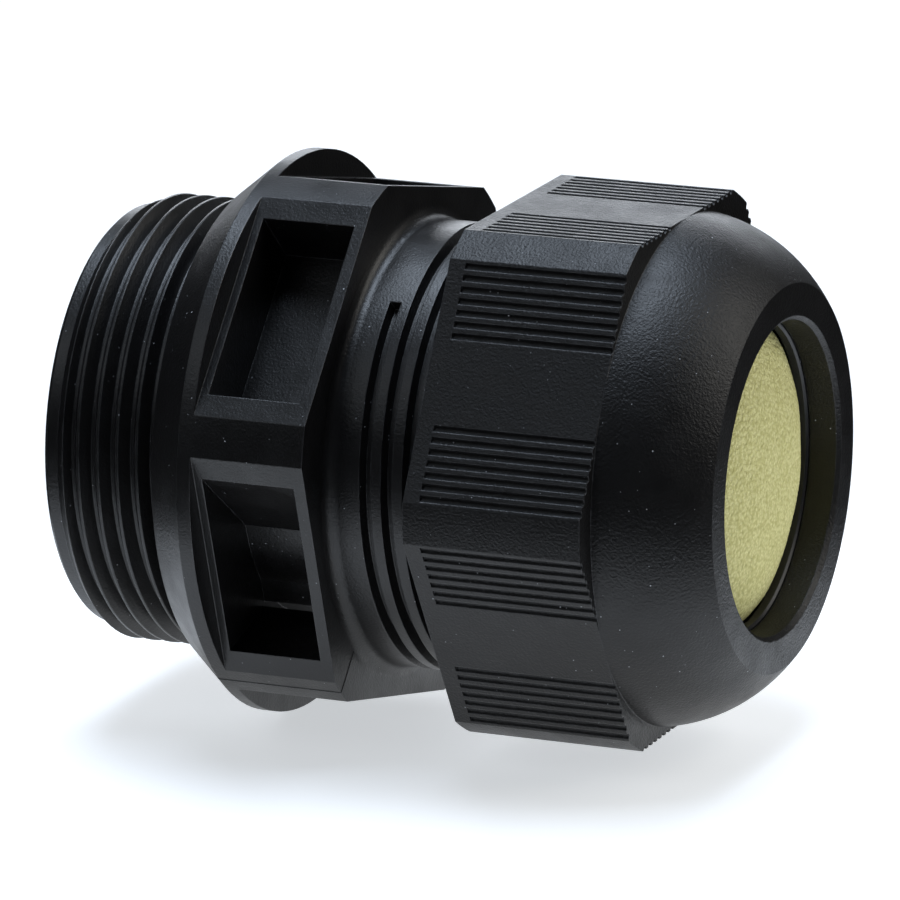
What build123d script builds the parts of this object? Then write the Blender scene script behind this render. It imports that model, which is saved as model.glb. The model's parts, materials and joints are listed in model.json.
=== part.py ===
from build123d import *
import os
from math import atan2, cos, degrees, pi, radians, sin, tan

# Cable gland with a metric entry thread, built about its own axis.
# +X runs along the axis from the entry thread to the dome nut, +Z is up, and the origin is
# the centre of the sealing face, where the collar meets the enclosure wall. Millimetres.

# ---------------------------------------------------------------- driving sizes
# Wrench hexagons: the body and the dome nut have the same size across flats.
across_flats = 36.0
corner_stand = 2.0  # the hexagons' corners are turned down to stand this far beyond the flats
body_clocking = 13.0  # turn of the body's hexagon against the nut's, in degrees

# Entry thread, M32 x 1.5
entry_major_diameter = 31.9
entry_pitch = 1.5
entry_thread_depth = 0.9
entry_length = 9.45
entry_lead = 1.1  # plain lead-in ahead of the thread
entry_end_chamfer = 0.3
entry_mouth_bevel = 0.5
entry_relief = 1.0  # plain relief between the thread and the sealing face
entry_relief_slope = 0.3
entry_groove_root = 0.24
entry_groove_mouth = 1.32
entry_groove_phase = 1.1  # from the sealing face back to a groove on the -Y side

# Collar between the entry thread and the hexagon
sealing_face_width = 1.5  # beyond the entry thread
collar_cone = 3.1
collar_rim = 1.0

# Body hexagon and its pockets
hex_length = 8.35
pocket_rear_wall = 0.6
pocket_front_wall = 0.85
pocket_land = 1.7  # flat left between a pocket and the hexagon's turned corner
pocket_pad_depth = 5.1  # depth of the two flat-bottomed pockets
pocket_slant = 53.0  # lean of one wall of the other four, in degrees from the flat's normal
tube_wall = 1.6  # wall left between the pockets and the passage

# Neck with the nut's thread
neck_length = 11.05
neck_wall = 1.55
neck_fillet = 0.9
neck_pitch = 1.6
neck_thread_depth = 0.8
neck_groove_root = 0.45
neck_groove_mouth = 0.85
neck_thread_start = 2.7  # from the hexagon's face to the groove's run-out
neck_thread_clocking = 127.0  # where the groove runs out, in degrees about +X from +Y
neck_end_chamfer = 0.5

# Cable, seal and clamping fingers
cable_max_diameter = 21.0
seal_wall = 1.5
finger_count = 14
finger_thickness = 1.0
finger_reach = 6.1  # from the finger's hinge to its tip
finger_slot = 1.25  # gap between two fingers before they lean
finger_lean = 5.9  # inward lean of the fingers in the position drawn, in degrees
finger_close = 10.3  # further inward travel when the nut is tightened, in degrees
nose_length = 1.8  # wedge at the tip that rides in the nut's cone
nose_height = 0.45
knuckle_radius = 0.7
knuckle_wall = 0.6  # of the cage ring's flange outside the knuckles

# Cage ring that carries the fingers
cage_wall = 1.1
cage_reach = 9.5  # how far the ring reaches down into the neck
cage_flange = 1.4
cage_edge_bevel = 0.3  # at the rear ends of the cage ring and the seal
seal_edge_bevel = 0.4  # on the seal's bore at both ends
seal_nose_bevel = 0.5  # on the seal's outside at its front end

# Dome nut
nut_gap = 7.55  # from the hexagon's face to the nut's rear edge, in the position drawn
nut_turns_in = 3.5  # turns left until it is tight
pad_length = 13.0  # length of the nut's hexagon
front_radius = 13.65
dome_fullness_x = 0.56  # the dome's arc passes here, as shares of its length and height
dome_fullness_r = 0.66
mouth_lip = 2.3
mouth_chamfer = 0.3
nut_thread_turns = 3.5
nut_thread_root = 0.56
nut_thread_tip = 0.24
grip_groove_count = 7  # grooves in each of the two strips on every flat
grip_groove_pitch = 0.83
grip_groove_radius = 0.24  # half-round grooves
grip_strip_land = 0.45  # from the flat's edge to the first groove
grip_rear_margin = 1.2

# Thrust ring and dust plug
ring_thickness = 0.85
ring_edge_bevel = 0.15
plug_crown = 2.4
plug_inset = 0.8  # the crown's tip lies this far inside the mouth

# ---------------------------------------------------------------- clearances
cage_clearance = 0.10  # cage ring in the neck's bore
seal_clearance = 0.15  # seal inside the cage and the fingers
cable_clearance = 0.10  # largest cable in the seal
passage_clearance = 0.6  # body's passage outside the seal's bore
knuckle_clearance = 0.06  # finger's knuckle in its socket
socket_end_clearance = 0.12  # each end of a knuckle in its socket
seal_seat_clearance = 0.10  # seal's rear end ahead of the body's seat
thread_clearance = 0.20  # nut's thread against the neck's, radially
cone_clearance = 0.15  # finger tips inside the nut's cone
shoulder_clearance = 1.0  # nut's inner shoulder ahead of the cage ring when tight
ring_clearance = 0.3  # thrust ring ahead of the finger tips when tight
ring_rim_clearance = 0.12
ring_seat_clearance = 0.05
plug_clearance = 0.20  # dust plug inside the seal's bore
ring_plug_clearance = 0.4
mouth_clearance = 0.65  # dust plug inside the nut's mouth
plug_back_clearance = 0.6
seal_tip_clearance = 0.4  # the seal stops this far short of the finger tips

# ---------------------------------------------------------------- sizes worked out from them
apothem = across_flats / 2
corner_radius = apothem + corner_stand
flat_half = (corner_radius**2 - apothem**2) ** 0.5
entry_r = entry_major_diameter / 2
entry_root_r = entry_r - entry_thread_depth
sealing_face_r = entry_r + sealing_face_width

seal_bore_r = cable_max_diameter / 2 + cable_clearance
seal_r = seal_bore_r + seal_wall
cage_bore_r = seal_r + seal_clearance
cage_r = cage_bore_r + cage_wall
neck_bore_r = cage_r + cage_clearance
neck_root_r = neck_bore_r + neck_wall
neck_r = neck_root_r + neck_thread_depth
passage_r = seal_bore_r + passage_clearance
tube_r = passage_r + tube_wall

finger_inner_r = seal_r + seal_clearance + finger_reach * sin(radians(finger_lean))
hinge_r = finger_inner_r + finger_thickness / 2
finger_width = 2 * finger_inner_r * tan(pi / finger_count) - finger_slot

hex_rear = collar_cone + collar_rim
hex_front = hex_rear + hex_length
neck_front = hex_front + neck_length
cage_seat = neck_front - cage_reach
cage_front = neck_front + cage_flange
hinge_x = cage_front
seal_front = hinge_x + finger_reach - seal_tip_clearance

nut_rear = hex_front + nut_gap
nut_travel_in = nut_turns_in * neck_pitch
nut_bore_r = neck_r + thread_clearance
nut_shoulder = cage_front + nut_travel_in + shoulder_clearance
pad_front = nut_rear + pad_length


def tip_place(lean, shift):
    """Place (x, r) of a finger tip's outer corners at a lean, seen from the nut moved back by shift."""
    angle = radians(lean)
    rise = finger_thickness / 2 + nose_height
    x = hinge_x + finger_reach * cos(angle) + rise * sin(angle) + shift
    height = hinge_r + rise * cos(angle) - finger_reach * sin(angle)
    return x, (height**2 + (finger_width / 2) ** 2) ** 0.5


tip_drawn = tip_place(finger_lean, 0)
tip_tight = tip_place(finger_lean + finger_close, nut_travel_in)
cone_slope = (tip_drawn[1] - tip_tight[1]) / (tip_tight[0] - tip_drawn[0])


def cone_r(x):
    """Radius of the nut's inner cone at x, which the finger tips follow as the nut turns."""
    return tip_drawn[1] + cone_clearance - cone_slope * (x - tip_drawn[0])


ring_rear = tip_tight[0] + ring_clearance
ring_front = ring_rear + ring_thickness
lip_rear = ring_front + ring_seat_clearance
nut_front = lip_rear + mouth_lip

plug_r = seal_bore_r - plug_clearance
mouth_r = plug_r + mouth_clearance
plug_back = seal_front + plug_back_clearance
plug_tip = nut_front - plug_inset
plug_rim = plug_tip - plug_crown

os.makedirs("parts", exist_ok=True)


def finish(builder, name):
    """Label a finished piece and write it out."""
    builder.part.label = name
    export_step(builder.part, f"parts/{name}.step")


def thread_section(deep, deep_width, shallow, shallow_width):
    """Section of a thread groove or ridge: its flanks pass both given widths and run on a little."""
    past = shallow + 0.1
    past_width = shallow_width + 0.1 * (shallow_width - deep_width) / (shallow - deep)
    return [
        (deep, -deep_width / 2),
        (past, -past_width / 2),
        (past, past_width / 2),
        (deep, deep_width / 2),
    ]


def cut_or_add_thread(section, start_x, start_angle, pitch, turns, radius, mode):
    """Sweep a thread's section half a turn at a time along a right-hand helix about +X.

    The section is in (out from the radius, along the axis). start_angle is about +X, from +Y.
    """
    for half_turn in range(round(2 * turns)):
        x = start_x + half_turn * pitch / 2
        with BuildLine():
            helix = Helix(pitch, pitch / 2, radius, center=(x, 0, 0), direction=(1, 0, 0))
        first = helix @ 0
        turn = start_angle + 180 * half_turn - degrees(atan2(first.Z, first.Y))
        turned = helix.rotate(Axis.X, turn)
        begin = turned @ 0
        across = Plane(origin=begin, x_dir=(0, begin.Y, begin.Z), z_dir=turned % 0)
        with BuildSketch(across) as profile:
            Polygon(*section, align=None)
        sweep(sections=profile.sketch, path=turned, is_frenet=True, mode=mode)


# ---------------------------------------------------------------- gland body
neck_blank_front = neck_front + 2 * neck_pitch  # the neck is threaded long, then cut back
with BuildPart() as gland_body:
    # Turned outline: entry tube, sealing face, collar, tube behind the pockets, neck
    with BuildSketch(Plane.XY):
        with BuildLine():
            Polyline(
                (-entry_length, passage_r + entry_mouth_bevel),
                (-entry_length, entry_root_r - entry_end_chamfer),
                (-entry_length + entry_end_chamfer, entry_root_r),
                (-entry_length + entry_lead, entry_root_r),
                (-entry_length + entry_lead + entry_thread_depth, entry_r),
                (-entry_relief - entry_relief_slope, entry_r),
                (-entry_relief, entry_root_r),
                (0, entry_root_r),
                (0, sealing_face_r),
                (collar_cone, corner_radius),
                (hex_rear, corner_radius),
                (hex_rear, tube_r),
                (hex_front, tube_r),
                (hex_front, neck_r),
                (neck_blank_front, neck_r),
                (neck_blank_front, neck_bore_r),
                (cage_seat, neck_bore_r),
                (cage_seat, passage_r),
                (-entry_length + entry_mouth_bevel, passage_r),
                close=True,
            )
        make_face()
    revolve(axis=Axis.X)

    # Wrench hexagon, its corners turned down to the rim's radius
    with BuildSketch(Plane.YZ.offset(hex_rear)):
        Circle(corner_radius)
        RegularPolygon(apothem, 6, major_radius=False, rotation=-body_clocking, mode=Mode.INTERSECT)
        Circle(passage_r, mode=Mode.SUBTRACT)
    extrude(amount=hex_length)

    # Two flat-bottomed pockets face the halves of the mould. The other four have one wall that
    # leans along the mould's draw. All of them stop at the tube round the passage.
    pocket_half = flat_half - pocket_land
    pocket_floor = apothem - pocket_pad_depth
    outside = corner_radius + 1
    slant_foot = (apothem - tube_r) * tan(radians(pocket_slant)) - pocket_half
    inside = tube_r - 1
    square_pocket = [
        (pocket_floor, -pocket_half),
        (outside, -pocket_half),
        (outside, pocket_half),
        (pocket_floor, pocket_half),
    ]
    slanted_pocket = [
        (inside, pocket_half),
        (inside, slant_foot),
        (tube_r, slant_foot),
        (apothem, -pocket_half),
        (outside, -pocket_half),
        (outside, pocket_half),
    ]
    mirrored_pocket = [(x, -y) for x, y in slanted_pocket]
    with BuildSketch(Plane.YZ.offset(hex_rear + pocket_rear_wall)):
        for half_turn in (0, 180):
            draw = 150 - body_clocking + half_turn
            Polygon(*square_pocket, rotation=draw, align=None)
            Polygon(*slanted_pocket, rotation=draw + 60, align=None)
            Polygon(*mirrored_pocket, rotation=draw - 60, align=None)
        Circle(tube_r, mode=Mode.SUBTRACT)
    extrude(amount=hex_length - pocket_rear_wall - pocket_front_wall, mode=Mode.SUBTRACT)

    # Fillet where the neck leaves the hexagon's face
    with BuildSketch(Plane.XY):
        with BuildLine():
            Line((hex_front, neck_r - 0.2), (hex_front, neck_r + neck_fillet))
            RadiusArc((hex_front, neck_r + neck_fillet), (hex_front + neck_fillet, neck_r), -neck_fillet)
            Line((hex_front + neck_fillet, neck_r), (hex_front + neck_fillet, neck_r - 0.2))
            Line((hex_front + neck_fillet, neck_r - 0.2), (hex_front, neck_r - 0.2))
        make_face()
    revolve(axis=Axis.X)

    # Entry thread: a vee groove from ahead of the lead-in to the relief
    entry_turns = int(entry_length / entry_pitch) + 1
    cut_or_add_thread(
        thread_section(0, entry_groove_root, entry_thread_depth, entry_groove_mouth),
        -entry_groove_phase - entry_turns * entry_pitch,
        180,
        entry_pitch,
        entry_turns + 0.5,
        entry_root_r,
        Mode.SUBTRACT,
    )

    # The nut's thread: a groove that runs out near the hexagon
    neck_thread_x = hex_front + neck_thread_start
    neck_turns = int((neck_front - neck_thread_x) / neck_pitch) + 1.5
    cut_or_add_thread(
        thread_section(0, neck_groove_root, neck_thread_depth, neck_groove_mouth),
        neck_thread_x,
        neck_thread_clocking,
        neck_pitch,
        neck_turns,
        neck_root_r,
        Mode.SUBTRACT,
    )

    # Cut the neck back to its chamfered end
    with BuildSketch(Plane.XY):
        Polygon(
            (neck_front, neck_bore_r - 1),
            (neck_front, neck_r - neck_end_chamfer),
            (neck_front - neck_end_chamfer - 1, neck_r + 1),
            (neck_blank_front + 1, neck_r + 1),
            (neck_blank_front + 1, neck_bore_r - 1),
            align=None,
        )
    revolve(axis=Axis.X, mode=Mode.SUBTRACT)

finish(gland_body, "gland_body")

# ---------------------------------------------------------------- cage ring
# A tangential socket in its front face holds each finger's knuckle.
finger_angles = [360 / finger_count * (number + 0.5) for number in range(finger_count)]


def finger_plane(angle, lean):
    """Plane of a finger's side profile: origin on its hinge, x towards its tip, y outwards."""
    turn = radians(angle)
    out = Vector(0, cos(turn), sin(turn))
    along = Vector(1, 0, 0) * cos(radians(lean)) - out * sin(radians(lean))
    side = Vector(0, sin(turn), -cos(turn))
    return Plane(origin=Vector(hinge_x, 0, 0) + out * hinge_r, x_dir=along, z_dir=side * -1)


with BuildPart() as cage_ring:
    flange_r = hinge_r + knuckle_radius + knuckle_wall
    with BuildSketch(Plane.XY):
        with BuildLine():
            Polyline(
                (cage_seat, cage_bore_r),
                (cage_seat, cage_r - cage_edge_bevel),
                (cage_seat + cage_edge_bevel, cage_r),
                (neck_front, cage_r),
                (neck_front, flange_r),
                (cage_front, flange_r),
                (cage_front, cage_bore_r),
                close=True,
            )
        make_face()
    revolve(axis=Axis.X)
    for angle in finger_angles:
        with BuildSketch(finger_plane(angle, 0)):
            Circle(knuckle_radius + knuckle_clearance)
        extrude(amount=finger_width / 2 + socket_end_clearance, both=True, mode=Mode.SUBTRACT)

finish(cage_ring, "cage_ring")

# ---------------------------------------------------------------- clamping fingers
half_thick = finger_thickness / 2
for number, angle in enumerate(finger_angles, start=1):
    with BuildPart() as clamping_finger:
        with BuildSketch(finger_plane(angle, finger_lean)):
            Circle(knuckle_radius)
            Polygon(
                (0, -half_thick),
                (finger_reach, -half_thick),
                (finger_reach, half_thick + nose_height),
                (finger_reach - nose_length, half_thick),
                (0, half_thick),
                align=None,
            )
        extrude(amount=finger_width / 2, both=True)
    finish(clamping_finger, f"clamping_finger_{number:02d}")

# ---------------------------------------------------------------- seal
seal_rear = cage_seat + seal_seat_clearance
with BuildPart() as seal_sleeve:
    with BuildSketch(Plane.XY):
        with BuildLine():
            Polyline(
                (seal_rear, seal_bore_r + seal_edge_bevel),
                (seal_rear, seal_r - cage_edge_bevel),
                (seal_rear + cage_edge_bevel, seal_r),
                (seal_front - seal_nose_bevel, seal_r),
                (seal_front, seal_r - seal_nose_bevel),
                (seal_front, seal_bore_r + seal_edge_bevel),
                (seal_front - seal_edge_bevel, seal_bore_r),
                (seal_rear + seal_edge_bevel, seal_bore_r),
                close=True,
            )
        make_face()
    revolve(axis=Axis.X)

finish(seal_sleeve, "seal_sleeve")

# ---------------------------------------------------------------- thrust ring
ring_r = cone_r(ring_front) - ring_rim_clearance
with BuildPart() as thrust_ring:
    with BuildSketch(Plane.YZ.offset(ring_rear)):
        Circle(ring_r)
        Circle(plug_r + ring_plug_clearance, mode=Mode.SUBTRACT)
    extrude(amount=ring_thickness)
    chamfer(thrust_ring.edges().filter_by(GeomType.CIRCLE), ring_edge_bevel)

finish(thrust_ring, "thrust_ring")

# ---------------------------------------------------------------- dome nut
with BuildPart() as dome_nut:
    # Turned outline: bore, inner cone, mouth, flat front and dome
    dome_mid = (
        pad_front + dome_fullness_x * (nut_front - pad_front),
        front_radius + dome_fullness_r * (apothem - front_radius),
    )
    with BuildSketch(Plane.XY):
        with BuildLine():
            Polyline(
                (pad_front, apothem),
                (nut_rear, apothem),
                (nut_rear, nut_bore_r),
                (nut_shoulder, nut_bore_r),
                (nut_shoulder, cone_r(nut_shoulder)),
                (lip_rear, cone_r(lip_rear)),
                (lip_rear, mouth_r),
                (nut_front - mouth_chamfer, mouth_r),
                (nut_front, mouth_r + mouth_chamfer),
                (nut_front, front_radius),
            )
            ThreePointArc((nut_front, front_radius), dome_mid, (pad_front, apothem))
        make_face()
    revolve(axis=Axis.X)

    # Wrench hexagon, with two strips of grip grooves on each flat
    with BuildSketch(Plane.YZ.offset(nut_rear)):
        Circle(corner_radius)
        RegularPolygon(apothem, 6, major_radius=False, mode=Mode.INTERSECT)
        Circle(apothem - 0.5, mode=Mode.SUBTRACT)
    extrude(amount=pad_length)
    first_groove = flat_half - grip_strip_land
    steps = [first_groove - grip_groove_pitch * step for step in range(grip_groove_count)]
    with BuildSketch(Plane.YZ.offset(nut_rear + grip_rear_margin)):
        with PolarLocations(apothem, 6, start_angle=30):
            with Locations(*[(0, side * step) for side in (-1, 1) for step in steps]):
                Circle(grip_groove_radius)
    extrude(amount=pad_length - grip_rear_margin, mode=Mode.SUBTRACT)

    # Thread ridge, in the middle of the neck's groove and some whole turns along it
    turns_along = int((nut_rear + 0.5 - neck_thread_x) / neck_pitch) + 1
    ridge_x = neck_thread_x + turns_along * neck_pitch
    ridge_height = nut_bore_r - neck_root_r - thread_clearance
    cut_or_add_thread(
        thread_section(-ridge_height, nut_thread_tip, 0, nut_thread_root),
        ridge_x,
        neck_thread_clocking,
        neck_pitch,
        nut_thread_turns,
        nut_bore_r,
        Mode.ADD,
    )

finish(dome_nut, "dome_nut")

# ---------------------------------------------------------------- dust plug
with BuildPart() as dust_plug:
    with BuildSketch(Plane.XY):
        with BuildLine():
            Polyline((plug_tip, 0), (plug_back, 0), (plug_back, plug_r), (plug_rim, plug_r))
            crown_r = (plug_r**2 + plug_crown**2) / (2 * plug_crown)
            RadiusArc((plug_rim, plug_r), (plug_tip, 0), crown_r)
        make_face()
    revolve(axis=Axis.X)

finish(dust_plug, "dust_plug")
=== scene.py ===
import json
from math import cos, pi, radians, sin

import bpy
from mathutils import Matrix, Vector, noise


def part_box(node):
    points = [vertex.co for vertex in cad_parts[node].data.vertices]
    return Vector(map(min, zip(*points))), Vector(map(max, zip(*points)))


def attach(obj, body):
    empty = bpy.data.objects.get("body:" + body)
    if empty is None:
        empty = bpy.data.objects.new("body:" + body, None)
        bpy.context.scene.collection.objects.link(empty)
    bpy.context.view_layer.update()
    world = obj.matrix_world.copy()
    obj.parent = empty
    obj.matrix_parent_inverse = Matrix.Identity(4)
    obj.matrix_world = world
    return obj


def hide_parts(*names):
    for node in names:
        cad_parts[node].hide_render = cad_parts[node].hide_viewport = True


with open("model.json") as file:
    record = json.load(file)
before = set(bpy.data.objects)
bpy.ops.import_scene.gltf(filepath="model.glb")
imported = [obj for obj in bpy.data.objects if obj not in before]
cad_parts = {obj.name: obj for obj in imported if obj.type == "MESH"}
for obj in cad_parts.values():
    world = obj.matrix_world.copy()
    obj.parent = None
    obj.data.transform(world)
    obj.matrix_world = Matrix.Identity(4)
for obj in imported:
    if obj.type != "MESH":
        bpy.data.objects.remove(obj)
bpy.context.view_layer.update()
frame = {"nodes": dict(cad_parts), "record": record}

MM = 0.001  # the frame is in metres

# ---------------------------------------------------------------- places read from the frame
body_low, body_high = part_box("gland_body")
plug_low, plug_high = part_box("dust_plug")
corner_radius = body_high[2]  # the collar and the hexagon's turned corners
floor_height = body_low[2]

# Sizes of the body's outline, measured from the sealing face at x = 0
COLLAR_CONE = 3.1 * MM
SEALING_FACE_RADIUS = 17.45 * MM
HEX_FRONT = 12.45 * MM
NECK_RADIUS = 15.8 * MM
NECK_FILLET = 0.9 * MM
PARTING_ANGLE = radians(-47)  # from -Y towards +Z: the corner where the mould halves met

# Foam plug
FOAM_GROWTH = 0.35 * MM  # beyond the CAD plug, so that it fills the mouth inside the thrust ring
FOAM_CROWN = 2.5 * MM
FOAM_CELL = 0.34 * MM

# Noise and cell textures are sized in features per metre
CLOUD_SCALE = 160
FLOW_SCALE = 900
DRIFT_SCALE = 420
GRAIN_SCALE = 5200
DUST_SCALE = 1800
SPECK_RADIUS = 0.11  # of the largest speck, as a share of a dust cell
# Lighter grey laid in patches along the polyamide's sharp edges
EDGE_TINT = (0.11, 0.112, 0.118, 1)
DUST_SHADE = (0.62, 0.64, 0.68, 1)


# ---------------------------------------------------------------- node helpers
class Shader:
    """A material's node tree with short calls for the nodes used here."""

    def __init__(self, name):
        self.material = bpy.data.materials.new(name)
        self.material.use_nodes = True
        self.tree = self.material.node_tree
        self.bsdf = next(n for n in self.tree.nodes if n.type == "BSDF_PRINCIPLED")
        coordinates = self.tree.nodes.new("ShaderNodeTexCoord")
        self.place = coordinates.outputs["Object"]

    def link(self, source, target):
        self.tree.links.new(source, target)

    def node(self, kind, **inputs):
        made = self.tree.nodes.new(kind)
        for key, value in inputs.items():
            socket = made.inputs[key.replace("_", " ")]
            if isinstance(value, bpy.types.NodeSocket):
                self.link(value, socket)
            else:
                socket.default_value = value
        return made

    def noise(self, scale, detail=2.0, rough=0.5, place=None):
        made = self.node("ShaderNodeTexNoise", Scale=scale, Detail=detail, Roughness=rough)
        self.link(place or self.place, made.inputs["Vector"])
        return made.outputs["Fac"]

    def cells(self, scale, feature="F1"):
        made = self.node("ShaderNodeTexVoronoi", Scale=scale)
        made.feature = feature
        self.link(self.place, made.inputs["Vector"])
        return made

    def remap(self, value, low, high, to_low=0.0, to_high=1.0):
        made = self.tree.nodes.new("ShaderNodeMapRange")
        self.link(value, made.inputs[0])
        for index, number in enumerate((low, high, to_low, to_high), start=1):
            made.inputs[index].default_value = number
        return made.outputs[0]

    def math(self, operation, first, second):
        made = self.tree.nodes.new("ShaderNodeMath")
        made.operation = operation
        for socket, value in zip(made.inputs, (first, second)):
            if isinstance(value, bpy.types.NodeSocket):
                self.link(value, socket)
            else:
                socket.default_value = value
        return made.outputs[0]

    def mix(self, factor, first, second):
        made = self.tree.nodes.new("ShaderNodeMix")
        made.data_type = "RGBA"
        sockets = [s for s in made.inputs if s.type == "RGBA"]
        for socket, value in zip((made.inputs[0], *sockets), (factor, first, second)):
            if isinstance(value, bpy.types.NodeSocket):
                self.link(value, socket)
            else:
                socket.default_value = value
        return next(s for s in made.outputs if s.type == "RGBA")

    def bump(self, height, distance, strength=1.0, under=None):
        made = self.node("ShaderNodeBump", Height=height, Distance=distance, Strength=strength)
        if under is not None:
            self.link(under, made.inputs["Normal"])
        return made.outputs["Normal"]

    def edge_mask(self, radius):
        """1 along sharp edges, 0 on open faces, and the rounded normal."""
        rounded = self.node("ShaderNodeBevel", Radius=radius)
        rounded.samples = 6
        geometry = self.tree.nodes.new("ShaderNodeNewGeometry")
        dot = self.tree.nodes.new("ShaderNodeVectorMath")
        dot.operation = "DOT_PRODUCT"
        self.link(rounded.outputs[0], dot.inputs[0])
        self.link(geometry.outputs["Normal"], dot.inputs[1])
        return self.remap(dot.outputs["Value"], 0.995, 0.86), rounded.outputs[0]


def polyamide(name, shade, roughness, grain_depth, edge_radius, specks=0.75, gloss=0.45):
    """Black moulded polyamide: fine grain, drifting gloss, a lighter grey along sharp edges and specks of dust.
    """
    s = Shader(name)
    edges, rounded = s.edge_mask(edge_radius)
    clouds = s.noise(CLOUD_SCALE, 4, 0.55)
    flow = s.noise(FLOW_SCALE, 3, 0.5)
    base = s.mix(s.remap(clouds, 0.3, 0.7), (*shade, 1), (*(c * 1.45 for c in shade), 1))
    # Lighter grey along the sharp edges, in patches set by the flow noise
    edge_tint_share = s.math("MULTIPLY", edges, s.remap(flow, 0.35, 0.7, 0.1, 0.6))
    edge_tinted = s.mix(edge_tint_share, base, EDGE_TINT)
    # Dust: a speck in most of the cells, of uneven size
    dust = s.cells(DUST_SCALE)
    lot = s.tree.nodes.new("ShaderNodeSeparateColor")
    s.link(dust.outputs["Color"], lot.inputs[0])
    size = s.remap(lot.outputs[0], 1 - specks, 1, 0.0, SPECK_RADIUS)
    speck = s.remap(s.math("SUBTRACT", size, dust.outputs["Distance"]), 0.0, 0.03)
    strength = s.math("MULTIPLY", speck, s.remap(lot.outputs[1], 0, 1, 0.15, 0.8))
    s.link(s.mix(strength, edge_tinted, DUST_SHADE), s.bsdf.inputs["Base Color"])
    drift = s.remap(s.noise(DRIFT_SCALE, 4, 0.6), 0.3, 0.7, roughness - 0.05, roughness + 0.06)
    polished = s.math("SUBTRACT", drift, s.math("MULTIPLY", edges, 0.08))
    s.link(s.math("ADD", polished, s.math("MULTIPLY", speck, 0.3)), s.bsdf.inputs["Roughness"])
    grain = s.noise(GRAIN_SCALE, 2, 0.55)
    sink = s.bump(flow, 0.03 * MM, 0.35, rounded)
    s.link(s.bump(grain, grain_depth, 1.0, sink), s.bsdf.inputs["Normal"])
    s.bsdf.inputs["Specular IOR Level"].default_value = gloss
    return s.material


def rubber(name, shade):
    """Soft seal rubber with a faint bloom and a smooth moulded skin."""
    s = Shader(name)
    bloom = s.noise(300, 5, 0.6)
    s.link(
        s.mix(s.remap(bloom, 0.35, 0.75), (*shade, 1), (*(c * 1.8 for c in shade), 1)),
        s.bsdf.inputs["Base Color"],
    )
    s.link(s.remap(bloom, 0.3, 0.7, 0.5, 0.68), s.bsdf.inputs["Roughness"])
    s.link(s.bump(s.noise(3000, 3, 0.6), 0.02 * MM), s.bsdf.inputs["Normal"])
    return s.material


def foam(name):
    """Pale yellow open foam: fine cells, with painted shade darkening their hollows."""
    s = Shader(name)
    cells = s.cells(3600)
    fine = s.cells(7000)
    # Painted shade: the foam's colour is darkened in the cells' hollows, where shade falls
    hollow_shade_mask = s.remap(cells.outputs["Distance"], 0.15, 0.75)
    tint = s.mix(s.remap(s.noise(330, 4, 0.6), 0.3, 0.7), (0.60, 0.56, 0.215, 1), (0.70, 0.655, 0.29, 1))
    # The skin's colour with the painted hollow shade mixed in
    skin = s.mix(s.math("MULTIPLY", hollow_shade_mask, 0.75), (0.78, 0.74, 0.38, 1), (0.36, 0.33, 0.10, 1))
    s.link(s.mix(0.65, tint, skin), s.bsdf.inputs["Base Color"])
    s.link(s.remap(s.noise(1500, 3, 0.5), 0.3, 0.7, 0.82, 0.95), s.bsdf.inputs["Roughness"])
    coarse = s.bump(cells.outputs["Distance"], 0.12 * MM, 0.8)
    s.link(s.bump(fine.outputs["Distance"], 0.05 * MM, 0.6, coarse), s.bsdf.inputs["Normal"])
    s.bsdf.inputs["Specular IOR Level"].default_value = 0.25
    return s.material


def stage_material(name, shade, roughness, glow, tint=(1, 1, 1)):
    """Plain pale studio surface with a barely seen mottle."""
    s = Shader(name)
    mottle = s.remap(s.noise(9, 4, 0.5), 0.3, 0.7)
    s.link(s.mix(mottle, (*shade, 1), (*(c * 0.985 for c in shade), 1)), s.bsdf.inputs["Base Color"])
    s.bsdf.inputs["Roughness"].default_value = roughness
    s.bsdf.inputs["Specular IOR Level"].default_value = 0.2
    s.bsdf.inputs["Emission Color"].default_value = (*tint, 1)
    s.bsdf.inputs["Emission Strength"].default_value = glow
    return s.material


# ---------------------------------------------------------------- materials on the CAD nodes
BLACK = (0.0036, 0.0033, 0.0035)
body_look = polyamide("polyamide_body", BLACK, 0.36, 0.022 * MM, 0.12 * MM, gloss=0.55)
nut_look = polyamide("polyamide_nut", BLACK, 0.42, 0.055 * MM, 0.14 * MM, gloss=0.43)
cage_look = polyamide("polyamide_cage", BLACK, 0.40, 0.008 * MM, 0.08 * MM, specks=0.2)
ring_look = polyamide("polyamide_ring", (0.014, 0.014, 0.015), 0.34, 0.006 * MM, 0.06 * MM, specks=0.2)
seal_look = rubber("seal_rubber", (0.012, 0.012, 0.012))
foam_look = foam("plug_foam")
looks = {
    "body_polyamide": body_look,
    "nut_polyamide": nut_look,
    "cage_polyamide": cage_look,
    "ring_polyamide": ring_look,
    "seal_rubber": seal_look,
    "plug_foam": foam_look,
}
slots = {row["node"]: row["material_slot"] for row in frame["record"]["subparts"]}
for node_name, node_object in frame["nodes"].items():
    look = looks[slots[node_name]]
    if not node_object.material_slots:
        node_object.data.materials.append(look)
    for material_slot in node_object.material_slots:
        material_slot.material = look


# ---------------------------------------------------------------- pieces
def mesh_piece(name, vertices, faces, look, smooth=True):
    """A mesh object from points and faces, in the row frame."""
    mesh = bpy.data.meshes.new(name)
    mesh.from_pydata([tuple(v) for v in vertices], [], faces)
    mesh.validate()
    mesh.update()
    piece = bpy.data.objects.new(name, mesh)
    bpy.context.scene.collection.objects.link(piece)
    mesh.materials.append(look)
    for polygon in mesh.polygons:
        polygon.use_smooth = smooth
    return piece


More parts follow.
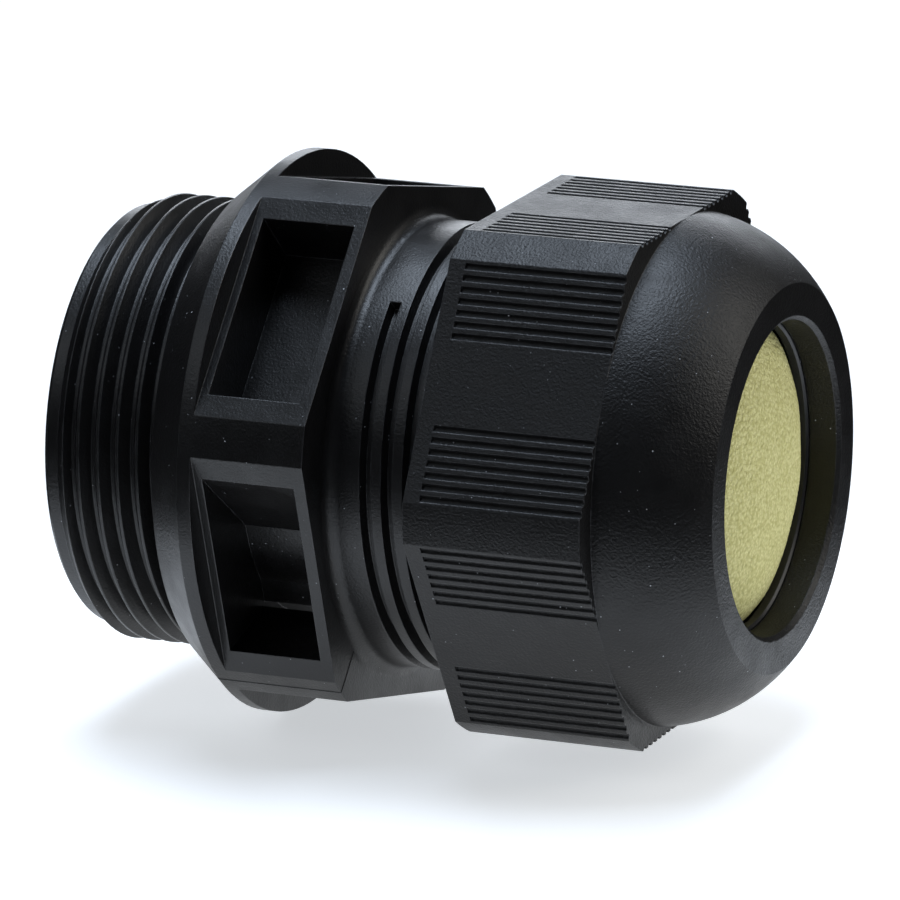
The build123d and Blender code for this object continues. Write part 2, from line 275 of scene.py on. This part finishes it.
def foam_plug():
    """The foam disc: a soft crown, pressed in at the rim, with small open cells in its skin."""
    back = plug_low[0]
    tip = plug_high[0]
    radius = plug_high[2] + FOAM_GROWTH
    rim = tip - FOAM_CROWN
    rings = 150
    sectors = 420
    vertices = []
    for ring in range(rings + 1):
        share = ring / rings
        r = radius * share
        height = FOAM_CROWN * (1 - share**2.4) ** 0.78
        vertices_in_ring = 1 if ring == 0 else sectors
        for sector in range(vertices_in_ring):
            angle = 2 * pi * sector / sectors
            y = r * cos(angle)
            z = r * sin(angle)
            lump = noise.noise(Vector((0.0, y, z)) * 260) * 0.10 * MM
            sample = Vector((rim + height, y, z)) / FOAM_CELL
            nearest = noise.voronoi(sample)[0][0]
            pit = max(0.0, 0.62 - nearest) * 0.11 * MM
            fine = noise.noise(sample * 2.3) * 0.02 * MM
            inward = (lump - pit + fine) * min(1.0, (1 - share) * 30)
            vertices.append((rim + height + inward, y, z))
    faces = [(0, 1 + s, 1 + (s + 1) % sectors) for s in range(sectors)]
    for ring in range(1, rings):
        start = 1 + (ring - 1) * sectors
        for s in range(sectors):
            nxt = (s + 1) % sectors
            faces.append((start + s, start + sectors + s, start + sectors + nxt, start + nxt))
    # The side, squeezed a little at mid depth, and the flat back
    outline = [(rim - 0.4 * MM, 1.0), (rim - 1.6 * MM, 0.985), (back + 0.8 * MM, 0.985), (back, 0.95)]
    last = 1 + (rings - 1) * sectors
    for x, share in outline:
        start = len(vertices)
        for sector in range(sectors):
            angle = 2 * pi * sector / sectors
            vertices.append((x, radius * share * cos(angle), radius * share * sin(angle)))
        for s in range(sectors):
            nxt = (s + 1) % sectors
            faces.append((last + s, start + s, start + nxt, last + nxt))
        last = start
    centre = len(vertices)
    vertices.append((back, 0, 0))
    faces += [(last + (s + 1) % sectors, last + s, centre) for s in range(sectors)]
    return mesh_piece("foam_plug", vertices, faces, foam_look)


def parting_line():
    """The thin flash where the mould halves met: over the collar, the corner band and the hexagon's face."""

    def at(x, r, side, lift):
        angle = PARTING_ANGLE + side / r
        return (x, -(r + lift) * cos(angle), (r + lift) * sin(angle))

    half = 0.055 * MM
    height = 0.035 * MM
    sunk = -0.03 * MM
    section = ((-half, sunk), (-half * 0.3, height), (half * 0.3, height), (half, sunk))
    path = [
        (0.05 * MM, SEALING_FACE_RADIUS),
        (COLLAR_CONE, corner_radius),
        (HEX_FRONT - 0.02 * MM, corner_radius),
    ]
    vertices = []
    for x, r in path:
        for side, lift in section:
            vertices.append(at(x, r, side, lift))
    # Down the hexagon's front face to the neck's fillet
    for r in (corner_radius, NECK_RADIUS + NECK_FILLET):
        for side, lift in section:
            vertices.append(at(HEX_FRONT + lift, r, side, 0))
    faces = []
    for step in range(len(vertices) // 4 - 1):
        for k in range(3):
            a = step * 4 + k
            faces.append((a, a + 1, a + 5, a + 4))
        faces.append((step * 4 + 3, step * 4, step * 4 + 4, step * 4 + 7))
    faces.append((0, 1, 2, 3))
    end = len(vertices) - 4
    faces.append((end + 3, end + 2, end + 1, end))
    return mesh_piece("parting_line", vertices, faces, body_look, smooth=False)


plug = foam_plug()
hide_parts("dust_plug")
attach(plug, "dust_plug")

flash = parting_line()
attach(flash, "gland_body")

# ---------------------------------------------------------------- floor
# A floor that sweeps up into a backdrop behind the object
FLOOR_HALF = 3.0
FLOOR_GAP = 0.05 * MM
SWEEP_START = 1.6
SWEEP_RADIUS = 0.9
SWEEP_STEPS = 12
BACKDROP_HEIGHT = 3.0
profile = [(-FLOOR_HALF, 0.0), (SWEEP_START, 0.0)]
profile += [
    (SWEEP_START + SWEEP_RADIUS * sin(a), SWEEP_RADIUS * (1 - cos(a)))
    for a in (pi / 2 * k / SWEEP_STEPS for k in range(1, SWEEP_STEPS + 1))
]
profile.append((SWEEP_START + SWEEP_RADIUS, BACKDROP_HEIGHT))
floor_points = [(x, y, floor_height - FLOOR_GAP + z) for y, z in profile for x in (-FLOOR_HALF, FLOOR_HALF)]
floor_faces = [(2 * k, 2 * k + 1, 2 * k + 3, 2 * k + 2) for k in range(len(profile) - 1)]
floor_look = stage_material("pale_floor", (0.80, 0.80, 0.80), 0.7, 0.28)
floor = mesh_piece("studio_floor", floor_points, floor_faces, floor_look)
floor.visible_glossy = False  # black plastic in a dark studio: only the glowing sheet under it, a painted light, shows in its gloss

# A round sheet of the same card under the object, glowing brighter and bluer than the floor: a painted light
# which its lower faces reflect
SHEET_RADIUS = 0.055
SHEET_CENTRE = 0.015  # along X
SHEET_GAP = 0.02 * MM
SHEET_SIDES = 64
sheet_angles = [2 * pi * k / SHEET_SIDES for k in range(SHEET_SIDES)]
sheet_points = [
    (SHEET_CENTRE + SHEET_RADIUS * cos(a), SHEET_RADIUS * sin(a), floor_height - SHEET_GAP) for a in sheet_angles
]
# Painted light: the sheet's glow, stronger than the floor's and tinted like the lamps, lights the object's lower
# faces and shows in them
painted_light_sheet_look = stage_material("glowing_sheet", (0.80, 0.80, 0.80), 0.7, 0.6, (0.93, 0.965, 1.0))
sheet = mesh_piece("glowing_studio_sheet", sheet_points, [tuple(range(SHEET_SIDES))], painted_light_sheet_look)


# ---------------------------------------------------------------- lights
def softbox(name, place, aim, size, power, colour):
    """A rectangular area light at a place, facing a point."""
    data = bpy.data.lights.new(name, "AREA")
    data.shape = "RECTANGLE"
    data.size, data.size_y = size
    data.energy = power
    data.color = colour
    lamp = bpy.data.objects.new(name, data)
    lamp.location = place
    lamp.rotation_euler = (Vector(aim) - Vector(place)).to_track_quat("-Z", "Y").to_euler()
    bpy.context.scene.collection.objects.link(lamp)


centre = (0.015, 0.0, 0.0)
softbox("overhead_box", (-0.02, 0.065, 0.50), centre, (0.32, 0.42), 2.8, (0.74, 0.85, 1.0))
softbox("left_box", (-0.23, -0.40, 0.38), centre, (0.30, 0.30), 0.24, (0.88, 0.94, 1.0))
softbox("rear_box", (-0.36, 0.85, 0.25), centre, (0.80, 0.30), 3.1, (0.88, 0.93, 1.0))
softbox("right_box", (0.56, 0.24, 0.38), centre, (0.50, 0.50), 1.75, (1.0, 0.98, 0.93))

world = bpy.data.worlds.new("studio_air")
world.use_nodes = True
air = next(n for n in world.node_tree.nodes if n.type == "BACKGROUND")
air.inputs["Color"].default_value = (0.90, 0.94, 1.0, 1)
air.inputs["Strength"].default_value = 0.02
bpy.context.scene.world = world
bpy.context.scene.view_settings.view_transform = "Standard"

# ---------------------------------------------------------------- camera
CAMERA_AZIMUTH = radians(23.28)  # from behind -Y, towards +X
CAMERA_ELEVATION = radians(15.20)
CAMERA_ROLL = radians(0.617)
CAMERA_DISTANCE = 0.5913
CAMERA_AIM = Vector((0.01504, -0.00010, -0.00034))
forward = Vector(
    (
        -sin(CAMERA_AZIMUTH) * cos(CAMERA_ELEVATION),
        cos(CAMERA_AZIMUTH) * cos(CAMERA_ELEVATION),
        -sin(CAMERA_ELEVATION),
    )
)
level = Vector((cos(CAMERA_AZIMUTH), sin(CAMERA_AZIMUTH), 0))
upright = level.cross(forward)
across = level * cos(CAMERA_ROLL) - upright * sin(CAMERA_ROLL)
above = across.cross(forward)
lens = bpy.data.cameras.new("photo_view")
lens.sensor_width = 36
lens.lens = 336.57
lens.clip_end = 20
camera = bpy.data.objects.new("photo_view", lens)
camera.matrix_world = Matrix.Translation(CAMERA_AIM - forward * CAMERA_DISTANCE) @ Matrix(
    (across, above, -forward)
).transposed().to_4x4()
bpy.context.scene.collection.objects.link(camera)
bpy.context.scene.camera = camera
